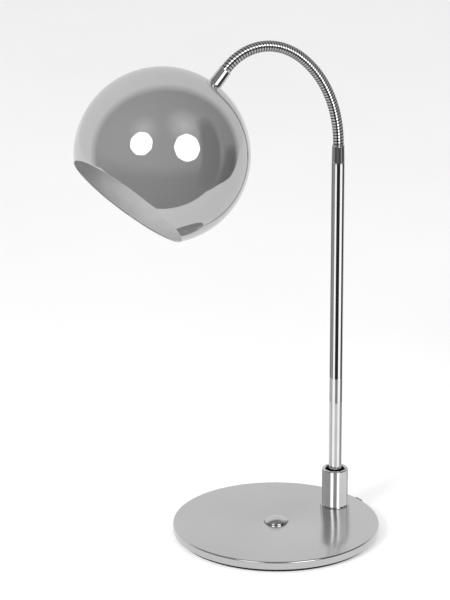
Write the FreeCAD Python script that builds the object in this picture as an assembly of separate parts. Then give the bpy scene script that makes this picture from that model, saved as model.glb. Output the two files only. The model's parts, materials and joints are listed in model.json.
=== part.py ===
import FreeCAD, Part
import math
import os

# Desk lamp with a round base, a thin stem in a thick collar, a flexible neck and a ball shade.
# Millimetres.  +Z is up, the origin is the centre of the foot on the table, +X points to the stem.

# ---- driving dimensions: base ----
foot_radius = 91.3
foot_height = 3.5
foot_edge_round = 0.8
foot_screw_hole = 3.4
base_radius = 95.0
base_height = 7.5
base_edge_round = 1.6
cover_wall = 1.5
bottom_plate_height = 0.8
weight_radius = 93.4
weight_gap = 0.05
channel_width = 9.0
bottom_screw_circle = 60.0
bottom_screw_radius = 1.25
bottom_screw_depth = 3.5
bottom_screw_head = 2.8
terminal_place = 42.0
terminal_length = 20.0
terminal_width = 12.0
terminal_height = 4.5
terminal_screw_radius = 1.55
terminal_screw_low = 2.6
terminal_screw_high = 4.2
lead_radius = 1.5
wire_radius = 0.9
wire_spacing = 4.4
inlet_width = 8.0
inlet_gap = 0.15
inlet_bore_radius = 2.4

# ---- driving dimensions: push button ----
button_radius = 10.8
button_rise = 4.9
button_hole_gap = 0.35
button_flange_radius = 12.2
button_flange_height = 0.8
button_edge_height = 0.9
button_hollow_radius = 8.6
plunger_radius = 3.0
plunger_length = 2.0
switch_radius = 14.0
spring_wire = 0.3
spring_pitch = 0.95
spring_radius = 6.6

# ---- driving dimensions: collar and stem ----
stem_offset = 68.0
collar_radius = 12.0
collar_bore_radius = 9.0
collar_height = 37.0
collar_floor = 4.0
collar_chamfer = 0.8
collar_screw_circle = 7.0
collar_screw_radius = 1.5
collar_screw_length = 3.2
lead_hole_radius = 3.5
thrust_washer_height = 0.8
stem_radius = 6.0
stem_wall = 1.2
stem_top = 345.0
bush_bottom = 24.0
bush_top = 38.0
bush_skirt_height = 7.0
bush_rib_half_angle = 20.0
ring_radius = 7.6
ring_height = 1.7
stop_pin_radius = 1.2
stop_pin_length = 3.9
running_gap = 0.06

# ---- driving dimensions: flexible neck ----
head_heading = 180.0
neck_radius = 5.0
neck_bore_radius = 2.8
neck_pitch = 17.6
neck_joints = 11
neck_bend = 134.0
kink_calm = 8.8
kink_ramp_start = 4
kink_ramp_end = 10
knuckle_radius = 4.2
socket_clearance = 0.06
knuckle_low = -2.0
collar_face_low = -1.2
collar_face_high = 1.9
core_radius = 1.2
core_end_gap = 0.6
ferrule_height = 17.0
ferrule_bore_radius = 5.2
ferrule_lead_hole = 2.6
ferrule_neck_end = 5.65
ferrule_stem_end = 5.95
ferrule_shade_end = 6.3
spigot_length = 12.0

# ---- driving dimensions: shade ----
shade_radius = 77.5
shade_wall = 0.8
mouth_distance = 51.4
nipple_radius = 5.0
nipple_bore_radius = 3.2
shade_hole_radius = 5.08
washer_radius = 8.0
nut_across_flats = 14.0

# ---- driving dimensions: lamp holder and bulb ----
holder_radius = 14.0
holder_wall = 1.6
holder_length = 44.0
holder_cap_length = 18.0
bulb_radius = 22.5
bulb_wall = 1.0
bulb_neck_radius = 8.1
bulb_drop = 24.0
cap_radius = 6.75

# ---- heights and places that follow from them ----
top_of_plate = foot_height + base_height
under_plate = top_of_plate - cover_wall
weight_bottom = foot_height + bottom_plate_height
lead_height = weight_bottom + 1.8
inlet_top = under_plate - 0.1
inlet_height = foot_height + 0.45 + inlet_bore_radius
button_seat = under_plate - 0.3 - button_flange_height
switch_floor = weight_bottom + 1.5
collar_top = top_of_plate + collar_height
collar_seat = top_of_plate + collar_floor
stem_bottom = collar_seat + thrust_washer_height + 0.1
neck_start = stem_top + ferrule_height
axis_z = FreeCAD.Vector(0, 0, 1)
heading = math.radians(head_heading)
sideways = FreeCAD.Vector(math.cos(heading), math.sin(heading), 0)
hinge_axis = FreeCAD.Vector(-math.sin(heading), math.cos(heading), 0)


# ---- small helpers ----

def disc(radius, bottom, top, x=0.0, y=0.0):
    """Upright solid cylinder between two heights."""
    return Part.makeCylinder(radius, top - bottom, FreeCAD.Vector(x, y, bottom), axis_z)


def tube(outer, inner, bottom, top, x=0.0, y=0.0):
    """Upright hollow cylinder between two heights."""
    return disc(outer, bottom, top, x, y).cut(disc(inner, bottom - 1, top + 1, x, y))


def taper(low_radius, high_radius, bottom, top, x=0.0, y=0.0):
    """Upright truncated cone between two heights."""
    place = FreeCAD.Vector(x, y, bottom)
    return Part.makeCone(low_radius, high_radius, top - bottom, place, axis_z)


def ball(radius, centre=FreeCAD.Vector(0, 0, 0)):
    """Full sphere whose poles lie on Z."""
    return Part.makeSphere(radius, centre, axis_z, -90, 90, 360)


def block(x_size, y_size, bottom, top, x=0.0, y=0.0):
    """Upright box centred on x, y."""
    corner = FreeCAD.Vector(x - x_size / 2, y - y_size / 2, bottom)
    return Part.makeBox(x_size, y_size, top - bottom, corner)


def hexagon(across_flats, bottom, top, x=0.0, y=0.0):
    """Upright hexagonal prism."""
    radius = across_flats / math.sqrt(3)
    corners = []
    for step in range(7):
        angle = math.radians(60 * step)
        corners.append(FreeCAD.Vector(x + radius * math.cos(angle), y + radius * math.sin(angle), bottom))
    face = Part.Face(Part.makePolygon(corners))
    return face.extrude(FreeCAD.Vector(0, 0, top - bottom))


def placed(shape, origin, direction):
    """Copy of a shape built along Z, stood at origin with its Z along direction."""
    copy = shape.copy()
    turn = FreeCAD.Rotation(axis_z, direction)
    copy.Placement = FreeCAD.Placement(origin, turn).multiply(copy.Placement)
    return copy


def rod(radius, start, end):
    """Round rod from one point to another."""
    along = end - start
    return Part.makeCylinder(radius, along.Length, start, along)


def bent_rod(radius, points, bend_radius):
    """Round lead along straight runs joined by tangent arcs."""
    edges = []
    here = points[0]
    for index in range(1, len(points) - 1):
        corner = points[index]
        back = (points[index - 1] - corner).normalize()
        ahead = (points[index + 1] - corner).normalize()
        half = back.getAngle(ahead) / 2
        reach = bend_radius / math.tan(half)
        start = corner + back * reach
        end = corner + ahead * reach
        middle_way = (back + ahead).normalize()
        centre = corner + middle_way * (bend_radius / math.sin(half))
        middle = centre - middle_way * bend_radius
        edges.append(Part.LineSegment(here, start).toShape())
        edges.append(Part.Arc(start, middle, end).toShape())
        here = end
    edges.append(Part.LineSegment(here, points[-1]).toShape())
    path = Part.Wire(edges)
    section = Part.Wire([Part.makeCircle(radius, points[0], points[1] - points[0])])
    return path.makePipeShell([section], True, False, 1)


def save(node, shape):
    """Write one named piece."""
    shape.exportStep("parts/" + node + ".step")


# ---- the neck's line: pivots joined by short straight links that curl over ----

def ramp_share(index):
    """Smooth step from 0 at the calm end of the neck to 1 at its tight end."""
    share = (index - kink_ramp_start) / (kink_ramp_end - kink_ramp_start)
    share = min(1.0, max(0.0, share))
    return share * share * (3 - 2 * share)


def neck_kinks():
    """Angle in degrees by which the neck's line turns at each pivot; they add up to neck_bend."""
    shares = [ramp_share(index) for index in range(neck_joints)]
    gain = (neck_bend - kink_calm * neck_joints) / sum(shares)
    return [kink_calm + gain * share for share in shares]


def neck_direction(angle):
    """Unit vector in the neck's plane, angle in degrees away from straight up."""
    turned = math.radians(angle)
    return sideways * math.sin(turned) + axis_z * math.cos(turned)


def neck_line():
    """Pivot points, and the direction of the line after each of them."""
    points = [FreeCAD.Vector(stem_offset, 0, neck_start + neck_pitch / 2)]
    directions = []
    angle = 0.0
    for kink in neck_kinks():
        angle += kink
        directions.append(neck_direction(angle))
        points.append(points[-1] + directions[-1] * neck_pitch)
    return points[:-1], directions


pivots, link_directions = neck_line()
neck_end = pivots[-1] + link_directions[-1] * (neck_pitch / 2)
head_axis = link_directions[-1] * -1
shade_centre = neck_end - head_axis * (ferrule_height + shade_radius)
nipple_foot = shade_radius - 18.0
holder_top = shade_radius - 10.0
holder_middle = holder_top - holder_cap_length
holder_bottom = holder_top - holder_length
bulb_centre = holder_bottom - bulb_drop


# ---- base ----

def screw_places(radius, x=0.0):
    """Three places, 120 degrees apart, on a circle round x."""
    places = []
    for angle in (60, 180, 300):
        turned = math.radians(angle)
        places.append(FreeCAD.Vector(x + radius * math.cos(turned), radius * math.sin(turned), 0))
    return places


def make_foot():
    """Black rubber pad with three holes that give access to the screws."""
    pad = disc(foot_radius, 0, foot_height)
    pad = pad.makeFillet(foot_edge_round, [e for e in pad.Edges if e.BoundBox.ZMax < 0.01])
    for place in screw_places(bottom_screw_circle):
        pad = pad.cut(disc(foot_screw_hole, -1, foot_height + 1, place.x, place.y))
    return pad


def make_base_cover():
    """Round metal plate with a rolled edge, hollow below."""
    body = disc(base_radius, foot_height, top_of_plate)
    rim = [e for e in body.Edges if e.BoundBox.ZMin > top_of_plate - 0.01]
    body = body.makeFillet(base_edge_round, rim)
    body = body.cut(disc(base_radius - cover_wall, foot_height - 1, under_plate))
    body = body.cut(disc(button_radius + button_hole_gap, under_plate - 1, top_of_plate + 1))
    body = body.cut(disc(lead_hole_radius, under_plate - 1, top_of_plate + 1, stem_offset))
    for place in screw_places(collar_screw_circle, stem_offset):
        hole = disc(collar_screw_radius + 0.1, under_plate - 1, top_of_plate + 1, place.x, place.y)
        body = body.cut(hole)
    return body.cut(block(8.0, inlet_width, foot_height - 1, inlet_top, base_radius))


def make_bottom_plate():
    plate = disc(weight_radius, foot_height, weight_bottom)
    for place in screw_places(bottom_screw_circle):
        hole = disc(bottom_screw_radius + 0.45, foot_height - 1, weight_bottom + 1, place.x, place.y)
        plate = plate.cut(hole)
    return plate.cut(block(12.0, inlet_width + 1.5, foot_height - 1, weight_bottom + 1, base_radius))


def make_weight():
    """Cast-iron disc with pockets for the button, the collar's screws and the leads."""
    low = weight_bottom - 1
    high = under_plate + 1
    iron = disc(weight_radius, weight_bottom, under_plate - weight_gap)
    iron = iron.cut(disc(switch_radius + 1, low, high))
    iron = iron.cut(disc(switch_radius, low, high, stem_offset))
    iron = iron.cut(block(base_radius, channel_width, low, high, base_radius / 2))
    iron = iron.cut(block(terminal_length + 4, terminal_width + 3, low, high, terminal_place))
    for place in screw_places(bottom_screw_circle):
        hole = disc(bottom_screw_radius + 0.05, low, weight_bottom + 4, place.x, place.y)
        iron = iron.cut(hole)
    return iron


def make_bottom_screws():
    """Three countersunk screws that hold the bottom plate to the weight."""
    solids = []
    for place in screw_places(bottom_screw_circle):
        shank_top = weight_bottom + bottom_screw_depth
        shank = disc(bottom_screw_radius, foot_height, shank_top, place.x, place.y)
        head_low = foot_height - 1.5
        head = taper(bottom_screw_head, bottom_screw_radius, head_low, foot_height, place.x, place.y)
        solids.append(shank.fuse(head))
    return Part.makeCompound(solids)


def make_cord_gland():
    """Plastic grommet in the notch of the base's wall where a mains cord goes in."""
    low = foot_height + 0.05
    high = inlet_top - inlet_gap
    width = inlet_width - 2 * inlet_gap
    neck = block(3.6, width, low, high, base_radius - 0.6)
    inside = block(1.2, width + 1.2, low, high, base_radius - cover_wall - 0.8)
    outside = block(1.6, width + 2.0, low, inlet_top + 0.6, base_radius + 0.9)
    corners = [e for e in outside.Edges if e.BoundBox.ZMin > low + 1 and e.BoundBox.XLength > 1.0]
    outside = outside.makeFillet(0.9, corners)
    start = FreeCAD.Vector(base_radius - 8, 0, inlet_height)
    bore = Part.makeCylinder(inlet_bore_radius, 14, start, FreeCAD.Vector(1, 0, 0))
    return neck.fuse([inside, outside]).cut(bore)


def terminal_screw_places():
    places = []
    for along in (-5.0, 5.0):
        for across in (-3.0, 3.0):
            places.append(FreeCAD.Vector(terminal_place + along, across, 0))
    return places


def make_terminal_block():
    low = weight_bottom + 0.1
    body = block(terminal_length, terminal_width, low, low + terminal_height, terminal_place)
    for place in terminal_screw_places():
        hole = disc(terminal_screw_radius + 0.05, low + 2.5, low + 6, place.x, place.y)
        body = body.cut(hole)
    return body


def make_terminal_screws():
    solids = []
    low = weight_bottom + terminal_screw_low
    high = weight_bottom + terminal_screw_high
    for place in terminal_screw_places():
        solids.append(disc(terminal_screw_radius, low, high, place.x, place.y))
    return Part.makeCompound(solids)


def make_supply_lead():
    """Lead from the terminal block along the channel and up into the collar."""
    start = FreeCAD.Vector(terminal_place + terminal_length / 2, 0, lead_height)
    corner = FreeCAD.Vector(stem_offset, 0, lead_height)
    end = FreeCAD.Vector(stem_offset, 0, collar_seat + thrust_washer_height)
    return bent_rod(lead_radius, [start, corner, end], 3 * lead_radius + 0.1)


def make_switch_wires():
    """Pair of wires from the terminal block to the switch body."""
    solids = []
    for side in (-1, 1):
        across = side * wire_spacing / 2
        start = FreeCAD.Vector(terminal_place - terminal_length / 2, across, lead_height)
        end = FreeCAD.Vector(switch_radius + 0.05, across, lead_height)
        solids.append(rod(wire_radius, start, end))
    return Part.makeCompound(solids)


# ---- push button ----

def make_button():
    """Domed cap with a skirt through the plate and a flange that keeps it in."""
    dome_height = button_rise - button_edge_height
    curve_radius = (button_radius ** 2 + dome_height ** 2) / (2 * dome_height)
    edge_top = top_of_plate + button_edge_height
    centre = FreeCAD.Vector(0, 0, edge_top + dome_height - curve_radius)
    dome = ball(curve_radius, centre).common(disc(button_radius, edge_top, edge_top + dome_height + 1))
    flange_top = button_seat + button_flange_height
    skirt = disc(button_radius, flange_top, edge_top)
    flange = disc(button_flange_radius, button_seat, flange_top)
    solid = flange.fuse([skirt, dome])
    return solid.cut(disc(button_hollow_radius, button_seat - 1, top_of_plate - 0.8))


def make_plunger():
    """Guide pin and web inside the button."""
    web_top = top_of_plate - 0.8
    guide = disc(plunger_radius, button_seat - plunger_length, web_top)
    return guide.fuse(tube(button_hollow_radius, plunger_radius, web_top - 1.2, web_top))


def make_switch_body():
    """Shallow cup below the plate that guides the button."""
    body = disc(switch_radius, weight_bottom + 0.1, under_plate - 0.1)
    body = body.cut(disc(button_flange_radius + 0.35, switch_floor, under_plate + 1))
    return body.cut(disc(plunger_radius + 0.1, weight_bottom + 0.4, switch_floor + 1))


def make_spring():
    """Conical coil spring under the button, as three closed rings."""
    rings = []
    for step in range(3):
        place = FreeCAD.Vector(0, 0, switch_floor + spring_wire + step * spring_pitch)
        rings.append(Part.makeTorus(spring_radius - 2 * spring_wire * step, spring_wire, place, axis_z))
    return Part.makeCompound(rings)


# ---- collar and stem ----

def make_collar():
    """Thick upright sleeve with a chamfered rim and a wide bore round the stem."""
    body = disc(collar_radius, top_of_plate, collar_top)
    rim = [e for e in body.Edges if e.BoundBox.ZMin > collar_top - 0.01]
    body = body.makeChamfer(collar_chamfer * 0.7, rim)
    body = body.cut(disc(collar_bore_radius, collar_seat, collar_top + 1))
    flare = collar_bore_radius + collar_chamfer
    body = body.cut(taper(collar_bore_radius, flare, collar_top - collar_chamfer, collar_top))
    body = body.cut(disc(lead_hole_radius, top_of_plate - 1, collar_seat + 1))
    for place in screw_places(collar_screw_circle):
        hole_top = top_of_plate + collar_screw_length
        body = body.cut(disc(collar_screw_radius, top_of_plate - 1, hole_top, place.x, place.y))
    body.translate(FreeCAD.Vector(stem_offset, 0, 0))
    return body


def make_collar_screws():
    """Three pan-head screws that hold the collar from below."""
    solids = []
    for place in screw_places(collar_screw_circle, stem_offset):
        shank_top = top_of_plate + collar_screw_length
        shank = disc(collar_screw_radius, under_plate - 0.1, shank_top, place.x, place.y)
        head = disc(2.6, under_plate - 1.9, under_plate, place.x, place.y)
        solids.append(shank.fuse(head))
    return Part.makeCompound(solids)


def make_thrust_washer():
    return tube(8.8, lead_hole_radius + 0.1, collar_seat, collar_seat + thrust_washer_height, stem_offset)


def make_swivel_bush():
    """Plastic sleeve in the collar that the stem turns in, with a stop rib below."""
    sleeve = tube(collar_bore_radius, stem_radius + running_gap, bush_bottom, bush_top)
    skirt_low = bush_bottom - bush_skirt_height
    skirt = tube(collar_bore_radius, ring_radius + 0.3, skirt_low, bush_bottom)
    lobe = tube(collar_bore_radius, stem_radius + 0.5, skirt_low, bush_bottom - 2.2)
    half_width = math.radians(bush_rib_half_angle)
    reach = 2 * collar_bore_radius
    low = FreeCAD.Vector(0, 0, skirt_low - 1)
    corners = [low]
    for turned in (-half_width, half_width):
        out = FreeCAD.Vector(reach * math.cos(turned), reach * math.sin(turned), 0)
        corners.append(low + out)
    corners.append(low)
    wedge = Part.Face(Part.makePolygon(corners)).extrude(FreeCAD.Vector(0, 0, bush_skirt_height + 1))
    solid = sleeve.fuse(skirt.fuse(lobe).common(wedge))
    solid.rotate(FreeCAD.Vector(0, 0, 0), axis_z, head_heading - 180.0)
    solid.translate(FreeCAD.Vector(stem_offset, 0, 0))
    return solid


def make_stem():
    pipe = tube(stem_radius, stem_radius - stem_wall, stem_bottom, stem_top, stem_offset)
    return pipe.cut(make_stop_pin())


def make_retaining_ring():
    ring_top = bush_bottom - 0.2
    return tube(ring_radius, stem_radius, ring_top - ring_height, ring_top, stem_offset)


def make_stop_pin():
    """Short radial pin on the stem that meets the bush's rib."""
    foot = FreeCAD.Vector(stem_offset, 0, bush_bottom - 4.2) + sideways * (stem_radius - stem_wall + 0.05)
    return Part.makeCylinder(stop_pin_radius, stop_pin_length, foot, sideways)


def make_stem_lead():
    return disc(lead_radius, stem_bottom + 0.1, neck_start - 6.0, stem_offset)


def make_lower_ferrule():
    """Turned sleeve on top of the stem that grips the neck."""
    sleeve = taper(ferrule_stem_end, ferrule_neck_end, stem_top, neck_start, stem_offset)
    spigot = disc(stem_radius - stem_wall, stem_top - spigot_length, stem_top + 0.5, stem_offset)
    body = sleeve.fuse(spigot)
    body = body.cut(disc(ferrule_bore_radius, stem_top + 5, neck_start + 1, stem_offset))
    return body.cut(disc(ferrule_lead_hole, stem_top - spigot_length - 1, stem_top + 6, stem_offset))


# ---- neck links; local Z runs along the link, the pivot is at the local origin ----

def knuckle():
    """Ball zone at the lower end of a link."""
    zone = ball(knuckle_radius).common(disc(neck_radius, knuckle_low, collar_face_high + 0.5))
    return zone.cut(disc(neck_bore_radius, -neck_radius, neck_radius))


def make_neck_link():
    """Tube with a ball zone at its foot and a socket round the next pivot at its top."""
    body = tube(neck_radius, neck_bore_radius, collar_face_high, neck_pitch + collar_face_low)
    body = body.cut(ball(knuckle_radius + socket_clearance, FreeCAD.Vector(0, 0, neck_pitch)))
    return body.fuse(knuckle())


def make_neck_root():
    """Fixed first stretch of the neck, held in the lower ferrule."""
    start = stem_top + 5.2
    body = tube(neck_radius, neck_bore_radius, start, pivots[0].z + collar_face_low, stem_offset)
    return body.cut(ball(knuckle_radius + socket_clearance, pivots[0]))


def make_neck_tip():
    """Fixed last stretch of the neck, held in the upper ferrule."""
    body = tube(neck_radius, neck_bore_radius, collar_face_high, neck_pitch / 2 + 5)
    return body.fuse(knuckle())


def make_core():
    """Stretch of the lead inside one link."""
    return disc(core_radius, core_end_gap, neck_pitch - core_end_gap)


# ---- head; local Z runs along the head's axis from the shade's centre to the neck ----

def head_placed(shape):
    return placed(shape, shade_centre, head_axis)


def make_upper_ferrule():
    """Turned sleeve between the neck and the shade, threaded on the nipple."""
    high = shade_radius + ferrule_height
    body = taper(ferrule_shade_end, ferrule_neck_end, shade_radius - 1, high)
    body = body.cut(ball(shade_radius))
    body = body.cut(disc(ferrule_bore_radius, shade_radius + 11, high + 1))
    body = body.cut(disc(nipple_radius, shade_radius - 2, shade_radius + 9))
    return body.cut(disc(ferrule_lead_hole, shade_radius + 8, shade_radius + 12))


def make_nipple():
    return tube(nipple_radius, nipple_bore_radius, nipple_foot, shade_radius + 8.9)


def make_shade_washer():
    return tube(washer_radius, nipple_radius, shade_radius - 2.4, shade_radius - 1.4)


def make_lock_washer():
    return tube(washer_radius - 0.4, nipple_radius, shade_radius - 3.4, shade_radius - 2.4)


def make_head_nut():
    nut = hexagon(nut_across_flats, shade_radius - 7.4, shade_radius - 3.4)
    return nut.cut(disc(nipple_radius, shade_radius - 9, shade_radius - 2))


def make_shade():
    """Hollow ball with a round mouth opposite the neck and a hole for the nipple."""
    body = ball(shade_radius).cut(ball(shade_radius - shade_wall))
    body = body.cut(disc(2 * shade_radius, -2 * shade_radius, -mouth_distance))
    return body.cut(disc(shade_hole_radius, 0, 2 * shade_radius))


def make_holder_cap():
    """Closed upper half of the lamp holder, threaded on the nipple."""
    shoulder = holder_top - 4.0
    body = disc(holder_radius, holder_middle, shoulder)
    body = body.fuse(taper(holder_radius, holder_radius - 6.0, shoulder, holder_top))
    body = body.cut(disc(holder_radius - holder_wall, holder_middle - 1, shoulder - 1))
    return body.cut(disc(nipple_radius, holder_top - 6, holder_top + 1))


def make_holder_skirt():
    """Open lower half of the lamp holder round the bulb's cap."""
    body = tube(holder_radius, 8.4, holder_bottom, holder_middle)
    return body.fuse(tube(holder_radius + 1.6, holder_radius, holder_bottom + 6, holder_bottom + 9))


def make_holder_core():
    """Ceramic disc that carries the contacts."""
    body = disc(holder_radius - holder_wall - 0.1, holder_middle + 0.1, holder_middle + 6.0)
    for side in (-8.0, 8.0):
        body = body.cut(disc(1.5, holder_middle - 1, holder_middle + 7, side))
    return body


def make_holder_contacts():
    """Threaded brass shell and centre spring contact."""
    shell = tube(7.9, 7.1, holder_bottom + 4, holder_middle + 0.1)
    blade = block(3.0, 6.0, holder_middle - 1.2, holder_middle + 0.1)
    return Part.makeCompound([shell, blade])


def make_head_lead():
    """Lead from the neck through the nipple into the lamp holder."""
    high = shade_radius + ferrule_height + neck_pitch / 2 - core_end_gap
    return disc(core_radius, holder_middle + 6.1, high)


def make_bulb_cap():
    """Metal cap, insulator and contact nose of the bulb."""
    cap_top = holder_middle - 4.0
    insulator_top = cap_top + 1.4
    cap = disc(cap_radius, holder_bottom + 1.0, cap_top)
    insulator = taper(cap_radius, 3.0, cap_top, insulator_top)
    nose = taper(3.0, 2.2, insulator_top, insulator_top + 1.2)
    return cap.fuse([insulator, nose])


def make_bulb_glass():
    """Golf-ball bulb: a neck that swells into a globe."""
    centre = FreeCAD.Vector(0, 0, bulb_centre)
    neck_foot = 0.72 * bulb_radius
    foot_radius_on_globe = math.sqrt(bulb_radius ** 2 - neck_foot ** 2)
    neck = taper(foot_radius_on_globe, bulb_neck_radius, bulb_centre + neck_foot, holder_bottom - 0.5)
    stub = disc(bulb_neck_radius, holder_bottom - 1.0, holder_bottom + 1.0)
    return ball(bulb_radius, centre).fuse([neck, stub]).cut(ball(bulb_radius - bulb_wall, centre))


def base_parts():
    return {
        "foot_pad": make_foot(),
        "base_cover": make_base_cover(),
        "base_weight": make_weight(),
        "bottom_plate": make_bottom_plate(),
        "bottom_screws": make_bottom_screws(),
        "cord_gland": make_cord_gland(),
        "terminal_block": make_terminal_block(),
        "terminal_screws": make_terminal_screws(),
        "supply_lead": make_supply_lead(),
        "switch_wires": make_switch_wires(),
        "switch_body": make_switch_body(),
        "switch_spring": make_spring(),
        "button_cap": make_button(),
        "button_plunger": make_plunger(),
        "collar": make_collar(),
        "collar_screws": make_collar_screws(),
        "thrust_washer": make_thrust_washer(),
        "swivel_bush": make_swivel_bush(),
    }


def stem_parts():
    return {
        "stem": make_stem(),
        "retaining_ring": make_retaining_ring(),
        "stop_pin": make_stop_pin(),
        "stem_lead": make_stem_lead(),
        "lower_ferrule": make_lower_ferrule(),
        "neck_root": make_neck_root(),
    }


def neck_parts():
    """Links and lead stretches, one of each per joint but the last, and the fixed tip."""
    parts = {}
    link = make_neck_link()
    core = make_core()
    for index in range(neck_joints - 1):
        number = "%02d" % (index + 1)
        parts["neck_link_" + number] = placed(link, pivots[index], link_directions[index])
        parts["neck_lead_" + number] = placed(core, pivots[index], link_directions[index])
    parts["neck_tip"] = placed(make_neck_tip(), pivots[-1], link_directions[-1])
    return parts


def head_parts():
    shapes = {
        "upper_ferrule": make_upper_ferrule(),
        "nipple": make_nipple(),
        "shade_washer": make_shade_washer(),
        "lock_washer": make_lock_washer(),
        "head_nut": make_head_nut(),
        "shade": make_shade(),
        "holder_cap": make_holder_cap(),
        "holder_skirt": make_holder_skirt(),
        "holder_core": make_holder_core(),
        "holder_contacts": make_holder_contacts(),
        "head_lead": make_head_lead(),
        "bulb_cap": make_bulb_cap(),
        "bulb_glass": make_bulb_glass(),
    }
    return {node: head_placed(shape) for node, shape in shapes.items()}


def build():
    os.makedirs("parts", exist_ok=True)
    for group in (base_parts(), stem_parts(), neck_parts(), head_parts()):
        for node, shape in group.items():
            save(node, shape)


build()
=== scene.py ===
import json
import math

import bmesh
import bpy
from mathutils import Matrix, Vector


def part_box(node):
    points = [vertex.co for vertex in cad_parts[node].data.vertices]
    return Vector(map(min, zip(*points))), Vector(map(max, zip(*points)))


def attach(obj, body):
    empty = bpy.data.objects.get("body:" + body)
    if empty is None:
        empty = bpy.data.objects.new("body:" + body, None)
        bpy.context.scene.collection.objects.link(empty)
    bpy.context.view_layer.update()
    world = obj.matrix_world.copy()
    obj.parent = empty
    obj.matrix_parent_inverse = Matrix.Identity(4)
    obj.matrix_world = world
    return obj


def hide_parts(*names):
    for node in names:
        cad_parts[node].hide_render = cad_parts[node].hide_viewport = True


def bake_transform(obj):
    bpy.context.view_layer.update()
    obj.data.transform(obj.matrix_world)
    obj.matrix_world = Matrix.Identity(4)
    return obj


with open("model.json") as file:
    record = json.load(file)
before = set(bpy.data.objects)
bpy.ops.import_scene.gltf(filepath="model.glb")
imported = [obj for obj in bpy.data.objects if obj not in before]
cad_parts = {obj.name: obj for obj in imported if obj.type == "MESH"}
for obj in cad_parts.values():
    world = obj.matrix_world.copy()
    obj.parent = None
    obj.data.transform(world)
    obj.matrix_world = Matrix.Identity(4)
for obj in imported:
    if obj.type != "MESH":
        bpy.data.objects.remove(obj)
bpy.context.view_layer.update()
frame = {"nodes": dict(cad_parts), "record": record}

nodes = frame["nodes"]

# ---- sizes, in metres ----
foot_radius = 0.0913
foot_height = 0.0035
base_radius = 0.095
plate_top = 0.011
plate_round = 0.0016
button_radius = 0.0108
button_hole = 0.01115
button_rise = 0.0049
button_edge = 0.0009
button_skirt = 0.0015
stem_offset = 0.068
stem_radius = 0.006
stem_wall = 0.0012
stem_top = 0.345
collar_radius = 0.012
collar_bore = 0.009
collar_top = 0.048
collar_floor = 0.004
collar_wire_hole = 0.0035
ferrule_height = 0.017
ferrule_stem_end = 0.00595
ferrule_neck_end = 0.00565
ferrule_shade_end = 0.0063
low_ferrule_bore = 0.0048
high_ferrule_bore = 0.0051
ferrule_clearance = 0.00005
neck_start = stem_top + ferrule_height
neck_radius = 0.005
neck_pitch = 0.0176
neck_joints = 11
winding_in_ferrule = 0.004
rib_pitch = 0.0029
rib_depth = 0.00046
shade_radius = 0.0775
shade_wall = 0.0008
shade_hole = 0.0052
mouth_distance = 0.0514

# ---- the neck's turn: every joint has the calm kink, in degrees, and the later ones have more ----
neck_bend = 134.0
kink_calm = 8.8
kink_ramp_start = 4
kink_ramp_end = 10


def ramp_share(index):
    """Share of the extra turn that one joint takes, rising smoothly along the neck."""
    share = (index - kink_ramp_start) / (kink_ramp_end - kink_ramp_start)
    share = min(1.0, max(0.0, share))
    return share * share * (3 - 2 * share)


def neck_kinks():
    """Angle in radians by which the line turns at each pivot."""
    shares = [ramp_share(index) for index in range(neck_joints)]
    gain = (neck_bend - kink_calm * neck_joints) / sum(shares)
    return [math.radians(kink_calm + gain * share) for share in shares]


def neck_direction(angle):
    """Direction that many radians from straight up, towards the disc's side."""
    return Vector((-math.sin(angle), 0.0, math.cos(angle)))


def neck_line(kinks):
    """Pivot points, and the line's angle before the first and after each of them."""
    points = [Vector((stem_offset, 0.0, neck_start + neck_pitch / 2))]
    angles = [0.0]
    for kink in kinks:
        angles.append(angles[-1] + kink)
        points.append(points[-1] + neck_direction(angles[-1]) * neck_pitch)
    return points[:-1], angles


kinks = neck_kinks()
pivots, angles = neck_line(kinks)
neck_end = pivots[-1] + neck_direction(angles[-1]) * (neck_pitch / 2)
head_axis = -neck_direction(angles[-1])
shade_centre = neck_end - head_axis * (ferrule_height + shade_radius)
upright = Matrix.Identity(4)
at_stem = Matrix.Translation((stem_offset, 0.0, 0.0))
head_turn = head_axis.to_track_quat("Z", "Y").to_matrix().to_4x4()
at_head = Matrix.Translation(shade_centre) @ head_turn


# ---- mesh helpers ----

def spread(first, last, steps):
    """Evenly spaced values from first to last, both included."""
    return [first + (last - first) * step / steps for step in range(steps + 1)]


def arc(centre_r, centre_z, radius, start, end, steps):
    """Points of a profile's rounding; angles in degrees from +radius towards +height."""
    points = []
    for angle in spread(start, end, steps):
        turn = math.radians(angle)
        points.append((centre_r + radius * math.cos(turn), centre_z + radius * math.sin(turn)))
    return points


def finish_mesh(name, mesh_data, place, crease):
    """Object made from a bmesh, smooth except at edges sharper than crease degrees."""
    bmesh.ops.remove_doubles(mesh_data, verts=mesh_data.verts, dist=1e-7)
    bmesh.ops.recalc_face_normals(mesh_data, faces=mesh_data.faces)
    mesh = bpy.data.meshes.new(name)
    mesh_data.to_mesh(mesh)
    mesh_data.free()
    mesh.transform(place)
    mesh.polygons.foreach_set("use_smooth", [True] * len(mesh.polygons))
    mesh.set_sharp_from_angle(angle=math.radians(crease))
    obj = bpy.data.objects.new(name, mesh)
    bpy.context.scene.collection.objects.link(obj)
    return obj


def ring_points(mesh_data, radius, height, count):
    """One ring of vertices, or a single one on the axis."""
    if radius < 1e-9:
        return [mesh_data.verts.new((0.0, 0.0, height))]
    ring = []
    for step in range(count):
        turn = 2 * math.pi * step / count
        ring.append(mesh_data.verts.new((radius * math.cos(turn), radius * math.sin(turn), height)))
    return ring


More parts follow.
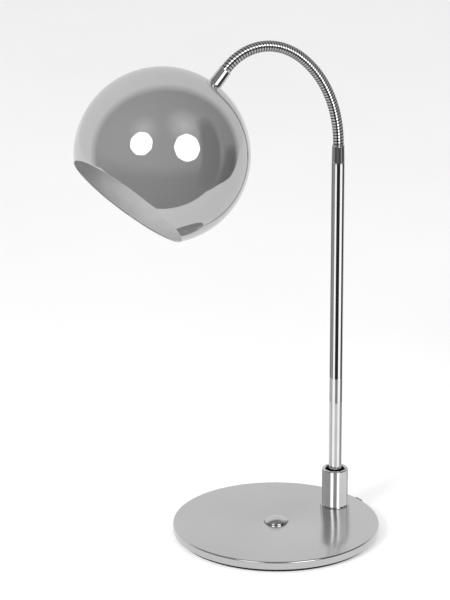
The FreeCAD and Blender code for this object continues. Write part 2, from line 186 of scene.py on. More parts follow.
def join_rings(mesh_data, low, high):
    """Faces between two rings, either of which may be a single point."""
    count = max(len(low), len(high))
    if count == 1:
        return
    for step in range(count):
        after = (step + 1) % count
        if len(low) == 1:
            mesh_data.faces.new((low[0], high[after], high[step]))
        elif len(high) == 1:
            mesh_data.faces.new((low[step], low[after], high[0]))
        else:
            mesh_data.faces.new((low[step], low[after], high[after], high[step]))


def join_all(mesh_data, rings):
    """Faces from each ring to the next."""
    for low, high in zip(rings, rings[1:]):
        join_rings(mesh_data, low, high)


def lathe(name, profile, place=upright, count=128, closed=False, crease=32.0):
    """Turned piece: profile is a list of (radius, height), joined up if closed."""
    mesh_data = bmesh.new()
    rings = [ring_points(mesh_data, radius, height, count) for radius, height in profile]
    join_all(mesh_data, rings)
    if closed:
        join_rings(mesh_data, rings[-1], rings[0])
    return finish_mesh(name, mesh_data, place, crease)


# ---- shader helpers ----

def noise(tree, vector, scale, detail, roughness):
    """Noise value between 0 and 1 over the object."""
    texture = tree.nodes.new("ShaderNodeTexNoise")
    texture.inputs["Scale"].default_value = scale
    texture.inputs["Detail"].default_value = detail
    texture.inputs["Roughness"].default_value = roughness
    tree.links.new(vector, texture.inputs["Vector"])
    return texture.outputs["Fac"]


def ramp(tree, value, low, high, low_out, high_out):
    """Value mapped from one range to another and held at the ends."""
    mapped = tree.nodes.new("ShaderNodeMapRange")
    mapped.inputs["From Min"].default_value = low
    mapped.inputs["From Max"].default_value = high
    mapped.inputs["To Min"].default_value = low_out
    mapped.inputs["To Max"].default_value = high_out
    tree.links.new(value, mapped.inputs["Value"])
    return mapped.outputs["Result"]


def times(tree, first, second):
    """Product of two values."""
    product = tree.nodes.new("ShaderNodeMath")
    product.operation = "MULTIPLY"
    tree.links.new(first, product.inputs[0])
    tree.links.new(second, product.inputs[1])
    return product.outputs["Value"]


def between(tree, share, fixed, value):
    """Goes from a fixed number to a value as the share goes from 0 to 1."""
    mixed = tree.nodes.new("ShaderNodeMix")
    mixed.data_type = "FLOAT"
    mixed.inputs["A"].default_value = fixed
    tree.links.new(value, mixed.inputs["B"])
    tree.links.new(share, mixed.inputs["Factor"])
    return mixed.outputs["Result"]


def dot_with(tree, vector, direction):
    """How far a vector reaches along a direction."""
    product = tree.nodes.new("ShaderNodeVectorMath")
    product.operation = "DOT_PRODUCT"
    product.inputs[1].default_value = direction
    tree.links.new(vector, product.inputs[0])
    return product.outputs["Value"]


def tint(tree, value, dark, light):
    """Colour that goes from dark to light over the middle part of a noise value."""
    colours = tree.nodes.new("ShaderNodeValToRGB")
    low, high = colours.color_ramp.elements
    low.position = 0.35
    low.color = (*dark, 1.0)
    high.position = 0.65
    high.color = (*light, 1.0)
    tree.links.new(value, colours.inputs["Fac"])
    return colours.outputs["Color"]


def raise_surface(tree, shader, value, distance):
    """Bump of that height in metres on the shader."""
    bump = tree.nodes.new("ShaderNodeBump")
    bump.inputs["Distance"].default_value = distance
    bump.inputs["Strength"].default_value = 1.0
    tree.links.new(value, bump.inputs["Height"])
    tree.links.new(bump.outputs["Normal"], shader.inputs["Normal"])


def grey(value):
    """Steel's faintly blue grey."""
    return (value, value, value * 1.005)


def shader_of(material):
    return material.node_tree.nodes["Principled BSDF"]


def surface(name, colours, roughness, cloud_scale, bump, metallic=0.0, grain_scale=900.0):
    """Procedural finish: cloudy colour, uneven roughness and a fine raised grain."""
    material = bpy.data.materials.new(name)
    material.use_nodes = True
    tree = material.node_tree
    shader = shader_of(material)
    vector = tree.nodes.new("ShaderNodeTexCoord").outputs["Object"]
    cloud = noise(tree, vector, cloud_scale, 4.0, 0.55)
    grain = noise(tree, vector, grain_scale, 2.0, 0.6)
    tree.links.new(tint(tree, cloud, *colours), shader.inputs["Base Color"])
    tree.links.new(ramp(tree, grain, 0.3, 0.7, *roughness), shader.inputs["Roughness"])
    raise_surface(tree, shader, grain, bump)
    shader.inputs["Metallic"].default_value = metallic
    return material


# ---- finishes: colours, roughness, size of the clouds, height of the grain, metal ----

chrome_ball = surface(
    "shade_chrome", (grey(0.485), grey(0.505)), (0.018, 0.030), 14.0, 2e-8, 0.79, 300.0)
chrome = surface("chrome", (grey(0.62), grey(0.66)), (0.04, 0.07), 40.0, 5e-7, 1.0)
chrome_neck = surface("neck_chrome", (grey(0.54), grey(0.66)), (0.07, 0.14), 220.0, 2e-6, 1.0)
chrome_collar = surface("collar_chrome", (grey(0.60), grey(0.66)), (0.05, 0.09), 60.0, 5e-7, 1.0)
chrome_plate = surface(
    "plate_steel", (grey(0.57), grey(0.61)), (0.12, 0.19), 9.0, 6e-7, 1.0, 700.0)
zinc = surface("zinc_steel", (grey(0.42), (0.58, 0.59, 0.62)), (0.28, 0.42), 180.0, 2e-6, 1.0)
spring_steel = surface(
    "spring_steel", (grey(0.30), grey(0.42)), (0.22, 0.34), 400.0, 2e-6, 1.0)
iron = surface("iron", ((0.07, 0.068, 0.065), (0.12, 0.115, 0.11)), (0.55, 0.75), 90.0, 3e-5, 0.7)
rubber = surface(
    "rubber", ((0.012, 0.012, 0.013), (0.022, 0.022, 0.024)), (0.62, 0.80), 120.0, 3e-5)
black_plastic = surface(
    "black_plastic", ((0.016, 0.016, 0.017), (0.026, 0.026, 0.028)), (0.34, 0.48), 80.0, 1e-5)
white_plastic = surface(
    "white_plastic", ((0.72, 0.72, 0.70), (0.80, 0.80, 0.78)), (0.32, 0.45), 60.0, 6e-6)
lead_sheath = surface(
    "lead_sheath", ((0.60, 0.60, 0.58), (0.70, 0.70, 0.68)), (0.42, 0.55), 120.0, 6e-6)
brass = surface("brass", ((0.62, 0.42, 0.16), (0.74, 0.54, 0.25)), (0.18, 0.34), 160.0, 3e-6, 1.0)
enamel = surface(
    "shade_enamel", ((0.54, 0.54, 0.54), (0.59, 0.59, 0.59)), (0.55, 0.66), 45.0, 8e-6)
bulb_glass = surface(
    "bulb_glass", ((0.86, 0.86, 0.84), (0.92, 0.92, 0.90)), (0.14, 0.22), 30.0, 1e-6)

shader_of(rubber).inputs["Specular IOR Level"].default_value = 0.12
shader_of(bulb_glass).inputs["Subsurface Weight"].default_value = 0.25
shader_of(bulb_glass).inputs["Subsurface Scale"].default_value = 0.004


def paint_groove_shade(material, groove_shade_factor):
    """Painted shade in the winding's grooves: the base colour is darkened by the crown height
    stored in the mesh.
    """
    tree = material.node_tree
    base_colour = shader_of(material).inputs["Base Color"]
    unshaded_colour = base_colour.links[0].from_socket
    height = tree.nodes.new("ShaderNodeAttribute")
    height.attribute_name = "crown"
    share = ramp(tree, height.outputs["Fac"], 0.74, 0.97, groove_shade_factor, 1.0)
    shaded_colour = tree.nodes.new("ShaderNodeVectorMath")
    shaded_colour.operation = "SCALE"
    tree.links.new(unshaded_colour, shaded_colour.inputs[0])
    tree.links.new(share, shaded_colour.inputs["Scale"])
    tree.links.new(shaded_colour.outputs["Vector"], base_colour)


# painted shade: the neck's base colour falls to a tenth of itself at the bottom of each groove
paint_groove_shade(chrome_neck, 0.10)

finishes = {
    "shade_chrome": chrome_ball,
    "chrome": chrome,
    "neck_chrome": chrome_neck,
    "collar_chrome": chrome_collar,
    "plate_steel": chrome_plate,
    "zinc_steel": zinc,
    "spring_steel": spring_steel,
    "iron": iron,
    "rubber": rubber,
    "black_plastic": black_plastic,
    "white_plastic": white_plastic,
    "lead_sheath": lead_sheath,
    "brass": brass,
    "bulb_glass": bulb_glass,
}

# every CAD node takes the procedural finish of the slot its record names
for entry in frame["record"]["materials"]:
    for node_name in entry.get("nodes", []):
        node = nodes[node_name]
        if not node.material_slots:
            node.data.materials.append(None)
        for node_slot in node.material_slots:
            node_slot.material = finishes[entry["slot"]]


def piece(obj, body, slot, material, *replaced):
    """Gives a finished mesh its material, its body and the CAD nodes it stands for."""
    obj.data.materials.append(material)
    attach(obj, body)
    if replaced:
        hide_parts(*replaced)
    return obj


# ---- base ----

def foot_pad():
    """Rubber disc with a soft lower edge and a shallow moulded groove round its side."""
    soft_edge = 0.0009
    groove_floor = foot_radius - 0.00025
    top_edge = 0.0002
    side = [(0.0, 0.0), (foot_radius - 0.004, 0.0)]
    side += arc(foot_radius - soft_edge, soft_edge, soft_edge, -90, 0, 6)
    side += [(foot_radius, 0.0016), (groove_floor, 0.0018)]
    side += [(groove_floor, 0.0021), (foot_radius, 0.0023)]
    side += [(foot_radius, foot_height - top_edge), (foot_radius - top_edge, foot_height)]
    side += [(0.0, foot_height)]
    return lathe("foot_pad_moulded", side, count=256)


def ring_with_edges(mesh_data, radius, height, count):
    """Ring of vertices joined into a loop that a flat face can be filled up to."""
    ring = ring_points(mesh_data, radius, height, count)
    edges = [mesh_data.edges.new((ring[step], ring[(step + 1) % count])) for step in range(count)]
    return ring, edges


def base_plate():
    """Steel plate with a rolled rim and a rounded hole for the button; the collar stands on it."""
    hem = 0.0015
    rim_edge = 0.0004
    lip = 0.0004
    rim_sides = 256
    hole_sides = 96
    mesh_data = bmesh.new()
    rim = [(base_radius - hem, foot_height), (base_radius - rim_edge, foot_height)]
    rim += arc(base_radius - rim_edge, foot_height + rim_edge, rim_edge, -90, 0, 4)
    rim += arc(base_radius - plate_round, plate_top - plate_round, plate_round, 0, 86, 12)
    rings = [ring_points(mesh_data, radius, height, rim_sides) for radius, height in rim]
    outer, outer_edges = ring_with_edges(
        mesh_data, base_radius - plate_round, plate_top, rim_sides)
    join_all(mesh_data, rings + [outer])
    hole, hole_edges = ring_with_edges(mesh_data, button_hole + lip, plate_top, hole_sides)
    down = [hole]
    for radius, height in arc(button_hole + lip, plate_top - lip, lip, 110, 180, 4):
        down.append(ring_points(mesh_data, radius, height, hole_sides))
    down.append(ring_points(mesh_data, button_hole, plate_top - button_skirt, hole_sides))
    join_all(mesh_data, down)
    bmesh.ops.triangle_fill(
        mesh_data, use_beauty=True, use_dissolve=False, edges=outer_edges + hole_edges)
    return finish_mesh("base_plate_polished", mesh_data, upright, 40.0)


def button_profile():
    """Shallow dome with a rounded shoulder and a skirt that goes down into the plate."""
    shoulder = 0.0003
    dome = button_rise - button_edge
    curve = (button_radius ** 2 + dome ** 2) / (2 * dome)
    middle = plate_top + button_rise - curve
    steps = 40
    start = math.asin((button_radius - shoulder * 0.5) / curve)
    profile = [(button_radius, plate_top - button_skirt)]
    profile += [(button_radius, plate_top + button_edge - shoulder)]
    for step in range(steps + 1):
        turn = start * (1 - step / steps)
        profile.append((curve * math.sin(turn), middle + curve * math.cos(turn)))
    profile[-1] = (0.0, profile[-1][1])
    return profile


def collar_profile():
    """Thick sleeve: broken lower edge, bright outer chamfer, flared and honed bore."""
    chamfer = 0.00056
    flare = 0.0008
    soft = 0.0001
    foot = collar_radius - 0.0006
    inner_floor = plate_top + collar_floor
    profile = [(collar_bore, inner_floor), (collar_bore, collar_top - flare - soft)]
    profile += [(collar_bore + soft, collar_top - flare)]
    profile += [(collar_bore + flare - soft, collar_top - soft), (collar_bore + flare, collar_top)]
    profile += [(collar_radius - chamfer - soft, collar_top)]
    profile += [(collar_radius - chamfer, collar_top - soft / 2)]
    profile += [(collar_radius - soft / 2, collar_top - chamfer)]
    profile += [(collar_radius, collar_top - chamfer - soft)]
    profile += [(collar_radius, plate_top + 0.0007), (collar_radius - 0.0002, plate_top + 0.0005)]
    profile += [(foot, plate_top + 0.0004), (foot, plate_top)]
    profile += [(collar_wire_hole, plate_top), (collar_wire_hole, inner_floor)]
    return profile


piece(foot_pad(), "base", "rubber", rubber, "foot_pad")
piece(base_plate(), "base", "plate_steel", chrome_plate, "base_cover")
button = lathe("button_domed", button_profile(), count=128)
piece(button, "button", "chrome", chrome, "button_cap")
collar = lathe("collar_turned", collar_profile(), at_stem, 160, True)
piece(collar, "base", "collar_chrome", chrome_collar, "collar")


# ---- stem and ferrules ----

def stem_profile():
    """Drawn tube with broken edges at both ends."""
    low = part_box("stem")[0].z
    inner = stem_radius - stem_wall
    edge = 0.0002
    profile = [(inner, low), (stem_radius - edge, low), (stem_radius, low + edge)]
    profile += [(stem_radius, stem_top - edge), (stem_radius - edge, stem_top), (inner, stem_top)]
    return profile


def ferrule_profile(low_radius, high_radius, bore, low, high):
    """Turned sleeve with a fine groove near its low end and a rounded top edge."""
    def wall(height):
        return low_radius + (high_radius - low_radius) * (height - low) / (high - low)

    low_edge = 0.0002
    top_edge = 0.0005
    groove = low + 0.0016
    groove_floor = wall(groove) - 0.00022
    above_groove = groove + 0.00052
    steps = 9
    profile = [(bore, low), (wall(low) - low_edge, low), (wall(low), low + low_edge)]
    profile += [(wall(groove), groove), (groove_floor, groove + 0.00018)]
    profile += [(groove_floor, groove + 0.00034), (wall(groove), above_groove)]
    for step in range(steps):
        height = above_groove + (high - top_edge - above_groove) * (step + 1) / steps
        profile.append((wall(height), height))
    profile += arc(high_radius - top_edge, high - top_edge, top_edge, 15, 90, 5)
    profile += [(bore + 0.0001, high), (bore, high - 0.0002)]
    return profile


low_ferrule = ferrule_profile(
    ferrule_stem_end, ferrule_neck_end, low_ferrule_bore, stem_top, neck_start)
high_ferrule = ferrule_profile(
    ferrule_shade_end, ferrule_neck_end, high_ferrule_bore,
    shade_radius + ferrule_clearance, shade_radius + ferrule_height)
stem = lathe("stem_tube", stem_profile(), at_stem, 96, True)
piece(stem, "stem_body", "chrome", chrome, "stem")
ferrule = lathe("ferrule_lower", low_ferrule, at_stem, 96, True)
piece(ferrule, "stem_body", "chrome", chrome, "lower_ferrule")
ferrule = lathe("ferrule_upper", high_ferrule, at_head, 96, True)
piece(ferrule, "head", "chrome", chrome, "upper_ferrule")


# ---- shade ----

# angles in degrees from the pole where the neck comes in
mouth_angle = math.degrees(math.acos(-mouth_distance / shade_radius))
hole_angle = math.degrees(math.asin(shade_hole / shade_radius))


def sphere_profile(radius, first, last, steps):
    """Meridian between two angles in degrees from the pole."""
    turns = [math.radians(angle) for angle in spread(first, last, steps)]
    return [(radius * math.sin(turn), radius * math.cos(turn)) for turn in turns]


def shade_shell():
    """Spun sphere: mirror outside, hole at the pole, edge rounded at the mouth."""
    edge_angle = mouth_angle - 0.35
    middle = shade_radius - shade_wall / 2
    turn = math.radians(edge_angle)
    lean = 90.0 - edge_angle
    outer = sphere_profile(shade_radius, hole_angle, edge_angle, 180)
    lip = arc(
        middle * math.sin(turn), middle * math.cos(turn), shade_wall / 2, lean, lean - 180, 10)
    inner = sphere_profile(shade_radius - shade_wall, edge_angle, hole_angle, 90)
    return lathe("shade_ball", outer + lip[1:-1] + inner, at_head, 256, True, 50.0)


def shade_lining():
    """Thin pale enamel coat on the inside, from the lamp holder to just inside the rim."""
    top_angle = 6.0
    rim_angle = mouth_angle - 0.9
    coat_thickness = 0.00015
    coat = shade_radius - shade_wall - 0.00005
    outside = sphere_profile(coat, top_angle, rim_angle, 90)
    inside = sphere_profile(coat - coat_thickness, rim_angle, top_angle, 90)
    return lathe("shade_enamel_coat", outside + inside, at_head, 192, True, 50.0)


piece(shade_shell(), "head", "shade_chrome", chrome_ball, "shade")
piece(shade_lining(), "head", "white_plastic", enamel)


# ---- flexible neck: one wound sleeve for each joint, from the middle of a link to the next ----

def rib(phase):
    """Height of the winding from 0 in its narrow groove to 1 on its flattened crown."""
    across = 2 * (phase % 1.0) - 1
    return max(0.0, 1 - abs(across) ** 3.4) ** 0.6


def bent_frame(index, along):
    """Point and direction of the smooth line round one pivot; along runs over the whole arc."""
    angle = angles[index]
    half = neck_pitch / 2
    start = pivots[index] - neck_direction(angle) * half
    radius = half / math.tan(kinks[index] / 2)
    turned = kinks[index] * along
    sideways = Vector((-math.cos(angle), 0.0, -math.sin(angle)))
    centre = start + sideways * radius
    outward = -(sideways * math.cos(turned)) + neck_direction(angle) * math.sin(turned)
    return centre + outward * radius, neck_direction(angle + turned)


def neck_sleeve(index, wound):
    """Helically wound sleeve over one pivot; the end ones run on straight into their ferrules.

    wound is the length of the line before it, so that the winding runs on."""
    rings_per_rib = 20
    around = 64
    length = kinks[index] * (neck_pitch / 2) / math.tan(kinks[index] / 2)
    before = winding_in_ferrule if index == 0 else 0.0
    after = winding_in_ferrule if index == neck_joints - 1 else 0.0
    total = before + length + after
    rings_along = int(total / rib_pitch * rings_per_rib)
    mesh_data = bmesh.new()
    crown = mesh_data.verts.layers.float.new("crown")
    rings = []
    for step in range(rings_along + 1):
        run = total * step / rings_along - before
        share = min(1.0, max(0.0, run / length))
        middle, direction = bent_frame(index, share)
        middle = middle + direction * (run - share * length)
        inward = Vector((-direction.z, 0.0, direction.x))
        ring = []
        for spot in range(around):
            turn = 2 * math.pi * spot / around
            height = rib((wound + run + before) / rib_pitch + turn / (2 * math.pi))
            radius = neck_radius - rib_depth * (1 - height)
            offset = inward * (radius * math.cos(turn))
            offset += Vector((0.0, radius * math.sin(turn), 0.0))
            vert = mesh_data.verts.new(middle + offset)
            vert[crown] = height
            ring.append(vert)
        rings.append(ring)
    join_all(mesh_data, rings)
    sleeve = finish_mesh(f"neck_winding_{index + 1:02d}", mesh_data, upright, 60.0)
    return sleeve, wound + total


wound = 0.0
for index in range(neck_joints):
    sleeve, wound = neck_sleeve(index, wound)
    sleeve.data.materials.append(chrome_neck)
    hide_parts(f"neck_link_{index:02d}" if index else "neck_root")
    if index == neck_joints - 1:
        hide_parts("neck_tip")
    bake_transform(sleeve)


# ---- camera, and directions seen from it ----

view_heading = math.radians(35.7)
camera_place = Vector((-1.9185, -2.5890, 1.3773))
camera_aim = Vector((0.0052, 0.0880, 0.2011))
to_camera = (camera_place - camera_aim).normalized()
image_right = Vector((math.cos(view_heading), -math.sin(view_heading), 0.0))
level_to_camera = Vector((-math.sin(view_heading), -math.cos(view_heading), 0.0))


def from_camera(right, up):
    """Direction from the lamp, in degrees to the right of the camera's and above it."""
    lift = to_camera.cross(image_right).normalized()
    if lift.z < 0:
        lift = -lift
    turn = math.radians(right)
    rise = math.radians(up)
    flat = to_camera * math.cos(turn) + image_right * math.sin(turn)
    return flat * math.cos(rise) + lift * math.sin(rise)


def seen_from_stem(azimuth, distance, height):
    """Point round the stem; the azimuth in degrees runs from the camera's side to its right."""
    turn = math.radians(azimuth)
    flat = level_to_camera * math.cos(turn) + image_right * math.sin(turn)
    return Vector((stem_offset, 0.0, height)) + flat * distance


# ---- studio cards: what the mirrors see ----

def emission(name, strength):
    """Plain light-coloured glow."""
    material = bpy.data.materials.new(name)
    material.use_nodes = True
    tree = material.node_tree
    tree.nodes.clear()
    out = tree.nodes.new("ShaderNodeOutputMaterial")
    out.name = "out"
    glow = tree.nodes.new("ShaderNodeEmission")
    glow.name = "glow"
    glow.inputs["Strength"].default_value = strength
    tree.links.new(glow.outputs["Emission"], out.inputs["Surface"])
    return material


def clear_by(material, share):
    """Makes a glow clear where the share is 1, and leaves it whole where it is 0."""
    tree = material.node_tree
    clear = tree.nodes.new("ShaderNodeBsdfTransparent")
    choose = tree.nodes.new("ShaderNodeMixShader")
    tree.links.new(share, choose.inputs["Fac"])
    tree.links.new(tree.nodes["glow"].outputs["Emission"], choose.inputs[1])
    tree.links.new(clear.outputs["BSDF"], choose.inputs[2])
    tree.links.new(choose.outputs["Shader"], tree.nodes["out"].inputs["Surface"])


def one_sided(name, strength):
    """Glow that can't be seen from behind."""
    material = emission(name, strength)
    facing = material.node_tree.nodes.new("ShaderNodeNewGeometry")
    clear_by(material, facing.outputs["Backfacing"])
    return material


def faded(name, strength, whole, gone, middle):
    """Glow that is whole up to one distance from its middle and gone at another, in metres."""
    material = emission(name, strength)
    tree = material.node_tree
    position = tree.nodes.new("ShaderNodeTexCoord")
    away = tree.nodes.new("ShaderNodeVectorMath")
    away.operation = "DISTANCE"
    away.inputs[1].default_value = middle
    tree.links.new(position.outputs["Object"], away.inputs[0])
    clear_by(material, ramp(tree, away.outputs["Value"], whole, gone, 0.0, 1.0))
    return material


def soft_edged(name, strength):
    """Glow that fades out towards all four edges of a card."""
    material = emission(name, strength)
    tree = material.node_tree
    position = tree.nodes.new("ShaderNodeTexCoord")
    parts = tree.nodes.new("ShaderNodeSeparateXYZ")
    tree.links.new(position.outputs["UV"], parts.inputs["Vector"])
    humps = []
    for side in ("X", "Y"):
        rest = tree.nodes.new("ShaderNodeMath")
        rest.operation = "SUBTRACT"
        rest.inputs[0].default_value = 1.0
        tree.links.new(parts.outputs[side], rest.inputs[1])
        humps.append(times(tree, parts.outputs[side], rest.outputs["Value"]))
    clear_by(material, ramp(tree, times(tree, *humps), 0.0, 0.035, 1.0, 0.0))
    return material


def stage_mesh(name, corners, faces, material):
    """Floor, card or screen that isn't part of the lamp."""
    mesh = bpy.data.meshes.new(name)
    mesh.from_pydata([tuple(corner) for corner in corners], [], faces)
    mesh.materials.append(material)
    obj = bpy.data.objects.new(name, mesh)
    bpy.context.scene.collection.objects.link(obj)
    return obj


def only_reflected(obj):
    """Leaves a studio card visible in mirrors only."""
    obj.visible_camera = False
    obj.visible_diffuse = False
    obj.visible_shadow = False
    obj.visible_transmission = False
    obj.visible_volume_scatter = False


floor_finish = surface(
    "table_top", ((0.50, 0.50, 0.497), (0.52, 0.52, 0.517)), (0.55, 0.65), 3.0, 1e-5)
floor_shader = shader_of(floor_finish)
floor_shader.inputs["Specular IOR Level"].default_value = 0.15
floor_shader.inputs["Emission Color"].default_value = (1.0, 1.0, 1.0, 1.0)

# the table glows a little, so that it stays pale, and less so the farther it is from the camera
floor_tree = floor_finish.node_tree
floor_position = next(node for node in floor_tree.nodes if node.type == "TEX_COORD")
behind = dot_with(floor_tree, floor_position.outputs["Object"], -level_to_camera)
near_part = ramp(floor_tree, behind, -0.4, 0.4, 0.46, 0.385)
far_part = ramp(floor_tree, behind, 0.4, 2.2, 0.0, -0.062)
both_parts = floor_tree.nodes.new("ShaderNodeMath")
floor_tree.links.new(near_part, both_parts.inputs[0])
floor_tree.links.new(far_part, both_parts.inputs[1])
floor_tree.links.new(both_parts.outputs["Value"], floor_shader.inputs["Emission Strength"])
wide = 14.0
floor_corners = [(-wide, -wide, 0), (wide, -wide, 0), (wide, wide, 0), (-wide, wide, 0)]
floor = stage_mesh("floor", floor_corners, [(0, 1, 2, 3)], floor_finish)
floor.visible_glossy = False

# the table as mirrors see it: it ends 0.39 m in front of the lamp, and its right end slants away;
# each corner is a distance to the right and one towards the camera
outline = [
    (-2.2, 0.40), (0.46, 0.385), (0.70, 0.235), (0.90, -0.06),
    (1.70, -0.64), (3.2, -1.7), (3.2, -4.0), (-2.2, -4.0)]
below_floor = Vector((0.0, 0.0, 0.0002))
corners = [image_right * right + level_to_camera * near - below_floor for right, near in outline]
table_glow = emission("table_in_mirrors", 0.90)
table = stage_mesh("table_in_mirrors", corners, [tuple(range(len(corners)))], table_glow)
only_reflected(table)


def round_card(name, direction, distance, radius, strength, solid=0.88, sides=8):
    """Soft light of that radius, facing the shade; solid is the share that doesn't fade."""
    middle = shade_centre + direction.normalized() * distance
    turn = (-direction).to_track_quat("Z", "Y")
    corners = []
    for step in range(sides):
        angle = 2 * math.pi * (step + 0.35) / sides
        spoke = Vector((radius * math.cos(angle), radius * math.sin(angle), 0.0))
        corners.append(middle + turn @ spoke)
    material = faded(name, strength, radius * solid, radius, middle)
    only_reflected(stage_mesh(name, corners, [tuple(range(sides))], material))


def tall_card(name, right, up, distance, strength):
    """Upright card that fills a range of angles to the right of the camera and above it."""
    sides = [(0, 0), (1, 0), (1, 1), (0, 1)]
    corners = [shade_centre + from_camera(right[i], up[j]) * distance for i, j in sides]
    card = stage_mesh(name, corners, [(0, 1, 2, 3)], soft_edged(name, strength))
    across = card.data.uv_layers.new(name="across")
    for loop, side in enumerate(sides):
        across.data[loop].uv = side
    only_reflected(card)


round_card("softbox_left", from_camera(-26.0, 12.0), 2.0, 0.545, 3.2)
round_card("softbox_right", from_camera(33.0, 7.0), 2.0, 0.635, 3.2)
round_card("glow_left", from_camera(-25.0, 30.0), 2.2, 0.80, 0.52, 0.05, 64)
round_card("glow_right", from_camera(34.0, 34.0), 2.2, 1.00, 0.62, 0.05, 64)
tall_card("dark_flag_near", (50.0, 82.0), (-40.0, 40.0), 2.1, 0.05)
tall_card("dark_flag_far", (86.0, 112.0), (-46.0, 10.0), 2.1, 0.03)


# ---- strips close round the polished tubes, which give them their stripes ----

def strip(name, rows, strength):
    """Card through rows of corners; it shines inwards and can't be seen from outside."""
    width = len(rows[0])
    faces = []
    for row in range(len(rows) - 1):
        for column in range(width - 1):
            low = row * width + column
            faces.append((low, low + width, low + width + 1, low + 1))
    corners = [corner for row in rows for corner in row]
    only_reflected(stage_mesh(name, corners, faces, one_sided(name, strength)))


def ring_of_strips(name, distance, low_height, high_height, strips):
    """Upright strips round the stem that only what stands inside the ring can see."""
    for number, (first, last, strength) in enumerate(strips):
        azimuths = spread(first, last, 12)
        rows = [[seen_from_stem(azimuth, distance, height) for azimuth in azimuths]
                for height in (low_height, high_height)]
        strip(f"{name}_{number}", rows, strength)


def neck_points():
    """Centreline of the neck with its direction, from the lower ferrule to the upper one."""
    steps = 8
    points = []
    for index in range(neck_joints):
        for step in range(steps):
            points.append(bent_frame(index, step / steps))
    points.append(bent_frame(neck_joints - 1, 1.0))
    return points


def ribbons_along_neck(name, distance, strips):
    """Cards that follow the neck, seen only from it; angles run from the camera's side outwards."""
    for number, (first, last, strength) in enumerate(strips):
        rows = []
        for middle, direction in neck_points():
            towards = (to_camera - direction * to_camera.dot(direction)).normalized()
            outward = direction.cross(towards).normalized()
            row = []
            for angle in spread(first, last, 4):
                turn = math.radians(angle)
                offset = towards * math.cos(turn) + outward * math.sin(turn)
                row.append(middle + offset * distance)
            rows.append(row)
        strip(f"{name}_{number}", rows, strength)


# each strip: its first and last angle in degrees, and how strongly it glows
stem_strips = [
    (-128, -75, 0.29), (-75, -41, 0.36), (-40, -18, 1.50), (-18, 25, 0.03),
    (25, 56.5, 1.50), (56.5, 98, 0.08)]
fading_strips = [
    (-128, -47, 0.60), (-46, -12, 1.40), (-12, 22, 0.30), (22, 60, 1.40), (60, 108, 0.20)]
low_strips = [
    (-128, -70, 0.85), (-70, -47, 0.62), (-46, -14, 1.35), (-14, 22, 0.80),
    (22, 56, 1.35), (56, 108, 0.42)]
ferrule_strips = [
    (-128, -50, 0.30), (-50, -20, 0.10), (-20, -8, 0.20), (-8, 2, 0.06),
    (2, 8, 0.26), (8, 30, 0.06), (30, 50, 0.34), (50, 98, 0.10)]
collar_strips = [
    (-110, -78, 0.34), (-78, -60, 0.44), (-60, -23, 0.41), (-23, -9.5, 1.90),
    (-9.5, 8, 0.37), (8, 20, 1.70), (20, 74, 0.90), (74, 110, 0.50)]
neck_strips = [
    (-110, -60, 0.56), (-60, -28, 0.74), (-28, 3, 0.12), (3, 19, 4.0),
    (19, 58, 0.36), (58, 110, 0.44)]
fading_start = 0.136
fading_end = 0.112
ring_of_strips("stem_strip", 0.011, fading_start, stem_top - 0.0005, stem_strips)
ring_of_strips("fading_strip", 0.011, fading_end, fading_start, fading_strips)
ring_of_strips("low_strip", 0.011, collar_top + 0.001, fading_end, low_strips)
ring_of_strips("ferrule_strip", 0.0105, stem_top + 0.0002, neck_start, ferrule_strips)
ring_of_strips("collar_strip", 0.0135, plate_top + 0.001, collar_top - 0.0008, collar_strips)
ribbons_along_neck("neck_strip", 0.0095, neck_strips)


# ---- lights, world and camera ----

def light(name, position, aim, size, energy):
    """Soft round area light that doesn't show in mirrors."""
    data = bpy.data.lights.new(name, "AREA")
    data.shape = "DISK"
    data.size = size
    data.energy = energy
    obj = bpy.data.objects.new(name, data)
    obj.location = position
    obj.rotation_mode = "QUATERNION"
    obj.rotation_quaternion = (position - aim).to_track_quat("Z", "Y")
    bpy.context.scene.collection.objects.link(obj)
    obj.visible_glossy = False
    obj.visible_camera = False


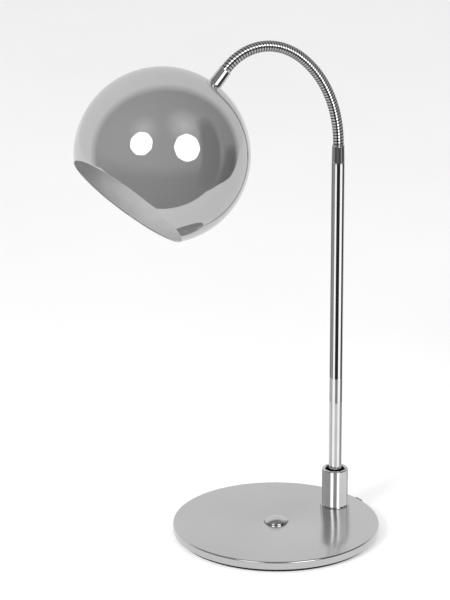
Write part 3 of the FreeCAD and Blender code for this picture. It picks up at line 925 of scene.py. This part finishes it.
lamp_middle = Vector((0.0, 0.0, 0.15))
below_shade = Vector((-1.22, -0.50, 0.50))
light("key_left", shade_centre + from_camera(-35, 40) * 2.4, lamp_middle, 1.6, 9.0)
light("key_right", shade_centre + from_camera(45, 35) * 2.4, lamp_middle, 1.6, 7.0)
light("fill_into_shade", shade_centre + below_shade, shade_centre, 0.5, 17.0)


def studio_world():
    """Even light on matt surfaces; mirrors see a grey studio in front and a pale sweep behind."""
    even_light = 0.93
    pale_sweep = 0.80
    widening = 0.24
    world = bpy.data.worlds.new("studio")
    bpy.context.scene.world = world
    world.use_nodes = True
    tree = world.node_tree
    background = tree.nodes["Background"]
    ray = tree.nodes.new("ShaderNodeTexCoord").outputs["Generated"]
    facing = dot_with(tree, ray, from_camera(8.0, 0.0))
    lateral = dot_with(tree, ray, from_camera(98.0, 0.0))
    wider = tree.nodes.new("ShaderNodeMath")
    wider.operation = "MULTIPLY_ADD"
    wider.inputs[1].default_value = widening
    tree.links.new(times(tree, lateral, lateral), wider.inputs[0])
    tree.links.new(facing, wider.inputs[2])
    height = tree.nodes.new("ShaderNodeSeparateXYZ")
    tree.links.new(ray, height.inputs["Vector"])
    grey_studio = ramp(tree, height.outputs["Z"], -0.25, 0.10, 0.10, 0.24)
    in_front = ramp(tree, wider.outputs["Value"], -0.22, 0.04, 0.0, 1.0)
    in_mirrors = between(tree, in_front, pale_sweep, grey_studio)
    paths = tree.nodes.new("ShaderNodeLightPath")
    strength = between(tree, paths.outputs["Is Glossy Ray"], even_light, in_mirrors)
    tree.links.new(strength, background.inputs["Strength"])
    background.inputs["Color"].default_value = (1.0, 1.0, 1.0, 1.0)


studio_world()

camera_data = bpy.data.cameras.new("camera")
camera_data.sensor_width = 36.0
camera_data.lens = 226.96
camera_data.clip_end = 60.0
camera = bpy.data.objects.new("camera", camera_data)
camera.location = camera_place
camera.rotation_mode = "QUATERNION"
camera.rotation_quaternion = to_camera.to_track_quat("Z", "Y")
bpy.context.scene.collection.objects.link(camera)
bpy.context.scene.camera = camera

view = bpy.context.scene.view_settings
view.view_transform = "Standard"
view.look = "None"
